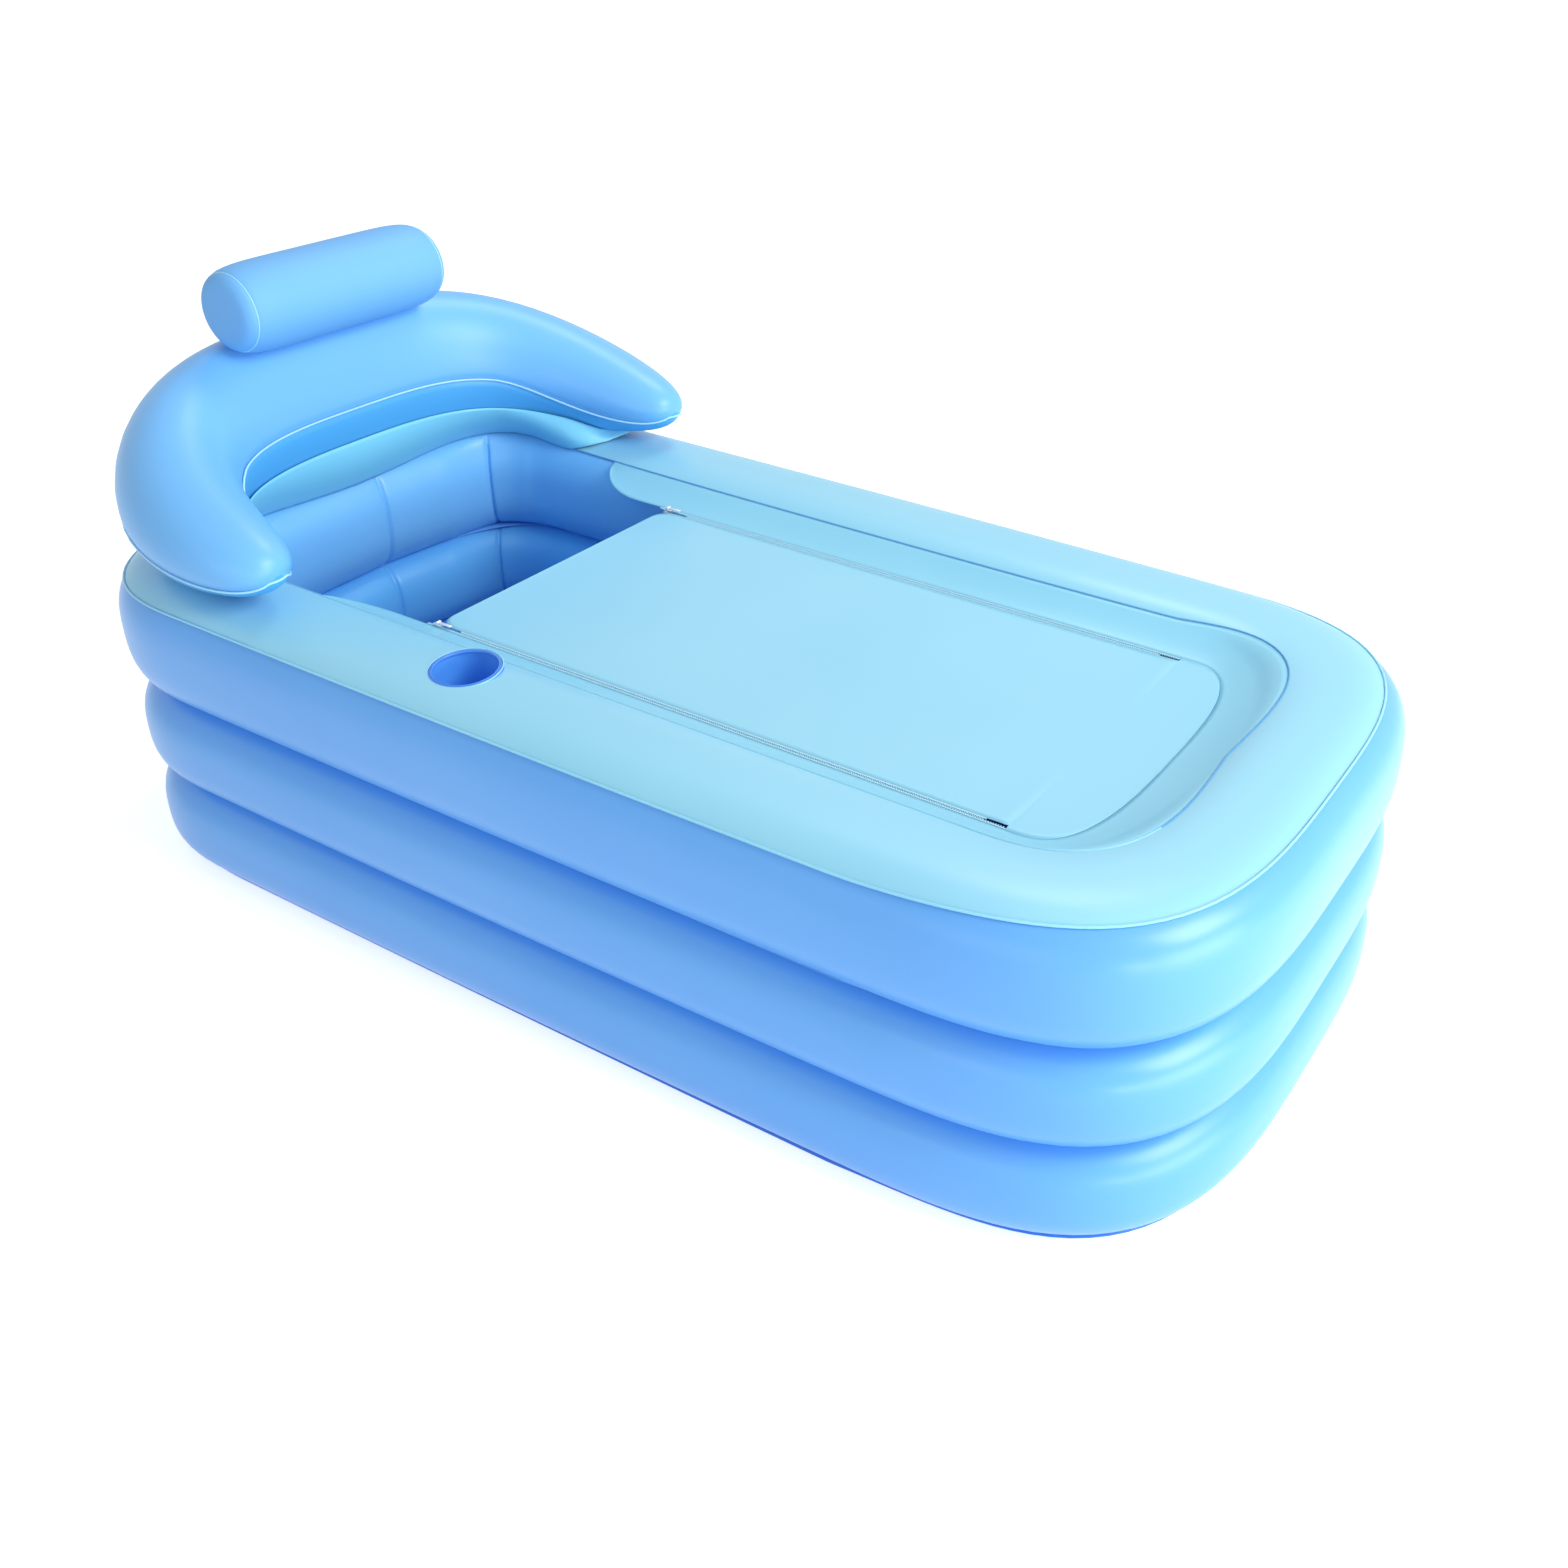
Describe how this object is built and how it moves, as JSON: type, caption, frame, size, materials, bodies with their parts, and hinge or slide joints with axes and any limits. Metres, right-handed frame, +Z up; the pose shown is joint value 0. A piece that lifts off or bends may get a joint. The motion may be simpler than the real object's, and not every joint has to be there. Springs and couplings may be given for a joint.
{
  "type": "inflatable bathtub",
  "caption": "Long rounded inflatable bath of stacked air rings with an air mattress floor, zipped film cover, cup holder in the rim, crescent backrest and neck pillow.",
  "frame": {"origin": "on the floor, under the middle of the overall box", "axes": "+X towards the foot end, the backrest at -X; +Y towards the side without the cup holder; +Z up"},
  "size_m": [1.6102, 0.84, 0.7293],
  "materials": {
    "wall_film": "satin",
    "floor_film": "satin",
    "cover_film": "satin",
    "headrest_film": "satin",
    "zip_tape": "matte",
    "zip_metal": "satin",
    "valve_plastic": "satin"
  },
  "bodies": {
    "tub": {"base_sheet": "floor_film", "lower_ring": "wall_film", "weld_band_lower": "wall_film", "middle_ring": "wall_film", "weld_band_upper": "wall_film", "upper_ring": "wall_film", "rim_cover": "cover_film", "rim_seam": "cover_film", "cover_strip": "cover_film", "cover_foot": "cover_film", "zip_row_near_strip": "zip_tape", "zip_row_far_strip": "zip_tape", "cup_ring": "cover_film", "cup_pocket": "floor_film", "air_mattress": "floor_film", "backrest": "headrest_film", "backrest_seam": "cover_film", "back_gusset": "cover_film", "pillow": "headrest_film", "pillow_weld_near": "headrest_film", "pillow_weld_far": "headrest_film", "valve_body_lower": "valve_plastic", "valve_body_middle": "valve_plastic", "valve_body_upper": "valve_plastic", "stem_backrest": "valve_plastic", "stem_pillow": "valve_plastic", "stem_mattress": "valve_plastic", "drain_fitting": "valve_plastic"},
    "cover": {"cover_panel": "cover_film", "zip_row_near_panel": "zip_tape", "zip_row_far_panel": "zip_tape"},
    "slider_near": {"zip_slider_near": "zip_metal"},
    "slider_far": {"zip_slider_far": "zip_metal"},
    "pull_near": {"zip_pull_near": "zip_metal"},
    "pull_far": {"zip_pull_far": "zip_metal"},
    "cap_lower": {"valve_cap_lower": "valve_plastic"},
    "cap_middle": {"valve_cap_middle": "valve_plastic"},
    "cap_upper": {"valve_cap_upper": "valve_plastic"},
    "backrest_plug": {"plug_backrest": "valve_plastic"},
    "pillow_plug": {"plug_pillow": "valve_plastic"},
    "mattress_plug": {"plug_mattress": "valve_plastic"},
    "stopper": {"drain_stopper": "valve_plastic"}
  },
  "joints": [
    {"name": "cover_fold", "type": "hinge", "parent": "tub", "child": "cover", "pos_m": [0.50625, 0, 0.3725], "axis": [0, 1, 0], "range_deg": [0, 165]},
    {"name": "zip_near", "type": "slide", "parent": "tub", "child": "slider_near", "axis": [1, 0, 0], "range_m": [0, 0.779]},
    {"name": "pull_near_swing", "type": "hinge", "parent": "slider_near", "child": "pull_near", "pos_m": [-0.29095, -0.218, 0.377], "axis": [0, -1, 0], "range_deg": [0, 170]},
    {"name": "zip_far", "type": "slide", "parent": "tub", "child": "slider_far", "axis": [1, 0, 0], "range_m": [0, 0.779]},
    {"name": "pull_far_swing", "type": "hinge", "parent": "slider_far", "child": "pull_far", "pos_m": [-0.29095, 0.218, 0.377], "axis": [0, -1, 0], "range_deg": [0, 170]},
    {"name": "valve_cap_lower_turn", "type": "hinge", "parent": "tub", "child": "cap_lower", "pos_m": [-0.79495, 0, 0.0625], "axis": [-1, 0, 0], "range_deg": [0, 360]},
    {"name": "valve_cap_middle_turn", "type": "hinge", "parent": "tub", "child": "cap_middle", "pos_m": [-0.79495, 0, 0.1871], "axis": [-1, 0, 0], "range_deg": [0, 360]},
    {"name": "valve_cap_upper_turn", "type": "hinge", "parent": "tub", "child": "cap_upper", "pos_m": [-0.79495, 0, 0.32677], "axis": [-1, 0, 0], "range_deg": [0, 360]},
    {"name": "backrest_plug_pull", "type": "slide", "parent": "tub", "child": "backrest_plug", "axis": [-1, 0, 0], "range_m": [0, 0.008]},
    {"name": "pillow_plug_pull", "type": "slide", "parent": "tub", "child": "pillow_plug", "axis": [-1, 0, 0], "range_m": [0, 0.008]},
    {"name": "mattress_plug_pull", "type": "slide", "parent": "tub", "child": "mattress_plug", "axis": [0, 0, 1], "range_m": [0, 0.008]},
    {"name": "drain_stopper_pull", "type": "slide", "parent": "tub", "child": "stopper", "axis": [0, 0, 1], "range_m": [0, 0.025]}
  ]
}
